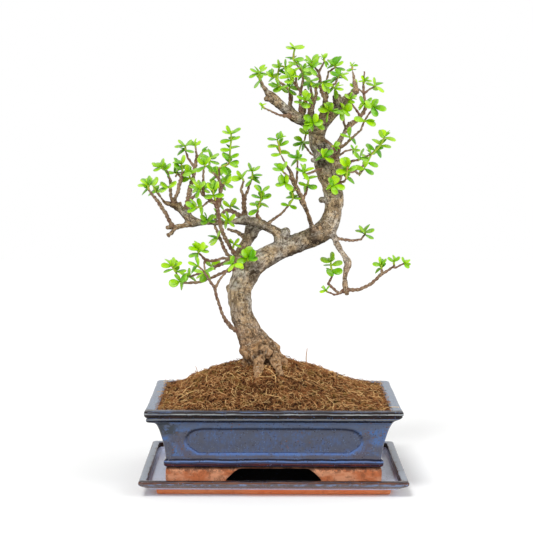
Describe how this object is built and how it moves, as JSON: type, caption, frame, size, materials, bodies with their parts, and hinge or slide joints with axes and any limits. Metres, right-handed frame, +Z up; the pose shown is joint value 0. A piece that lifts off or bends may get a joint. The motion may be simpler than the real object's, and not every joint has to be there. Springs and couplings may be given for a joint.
{
  "type": "potted bonsai",
  "caption": "Dwarf jade bonsai with an S-curved trunk and small thick leaves, in a footed rectangular glazed pot on a matching drip tray.",
  "frame": {"origin": "middle of the drip tray's flat underside, on the table", "axes": "+Z up along the tree, +X to the right along the pot's long side, -Y out of the front, the side with the roots"},
  "size_m": [0.2632, 0.199, 0.4324],
  "materials": {
    "glazed_ceramic": "mottled blue glaze over terracotta",
    "drain_mesh": "black plastic mesh",
    "soil": "dry fibrous peat",
    "bark": "grey-brown bark",
    "leaf": "waxy green leaves on brown twigs"
  },
  "bodies": {
    "root": {"drain_mesh_left": "drain_mesh", "drain_mesh_right": "drain_mesh", "drip_tray": "glazed_ceramic", "leafy_twig_back_right": "leaf", "leafy_twig_back_riser": "leaf", "leafy_twig_bow_twig": "leaf", "leafy_twig_crown_back": "leaf", "leafy_twig_crown_bright": "leaf", "leafy_twig_crown_centre": "leaf", "leafy_twig_crown_front": "leaf", "leafy_twig_crown_inner_up": "leaf", "leafy_twig_crown_low": "leaf", "leafy_twig_crown_nest": "leaf", "leafy_twig_crown_right_tip": "leaf", "leafy_twig_crown_side": "leaf", "leafy_twig_crown_spur": "leaf", "leafy_twig_crown_tip": "leaf", "leafy_twig_crown_top": "leaf", "leafy_twig_fork_twig": "leaf", "leafy_twig_front_riser": "leaf", "leafy_twig_front_spur": "leaf", "leafy_twig_front_twig": "leaf", "leafy_twig_hanging_left": "leaf", "leafy_twig_hanging_right": "leaf", "leafy_twig_hanging_top": "leaf", "leafy_twig_high_twig": "leaf", "leafy_twig_hook": "leaf", "leafy_twig_limb_cluster": "leaf", "leafy_twig_limb_front": "leaf", "leafy_twig_limb_twig": "leaf", "leafy_twig_long_twig": "leaf", "leafy_twig_low_front": "leaf", "leafy_twig_low_left": "leaf", "leafy_twig_low_mid": "leaf", "leafy_twig_mid_fork": "leaf", "leafy_twig_mid_left": "leaf", "leafy_twig_mid_right": "leaf", "leafy_twig_mid_rise": "leaf", "leafy_twig_mid_tip": "leaf", "leafy_twig_outer_back": "leaf", "leafy_twig_outer_rise": "leaf", "leafy_twig_outer_tip": "leaf", "leafy_twig_right_fine": "leaf", "leafy_twig_right_top": "leaf", "leafy_twig_trunk_bow_front": "leaf", "leafy_twig_trunk_face": "leaf", "leafy_twig_trunk_left": "leaf", "leafy_twig_trunk_left_back": "leaf", "leafy_twig_trunk_low_right": "leaf", "pot": "glazed_ceramic", "soil": "soil", "trunk": "bark"}
  },
  "joints": []
}
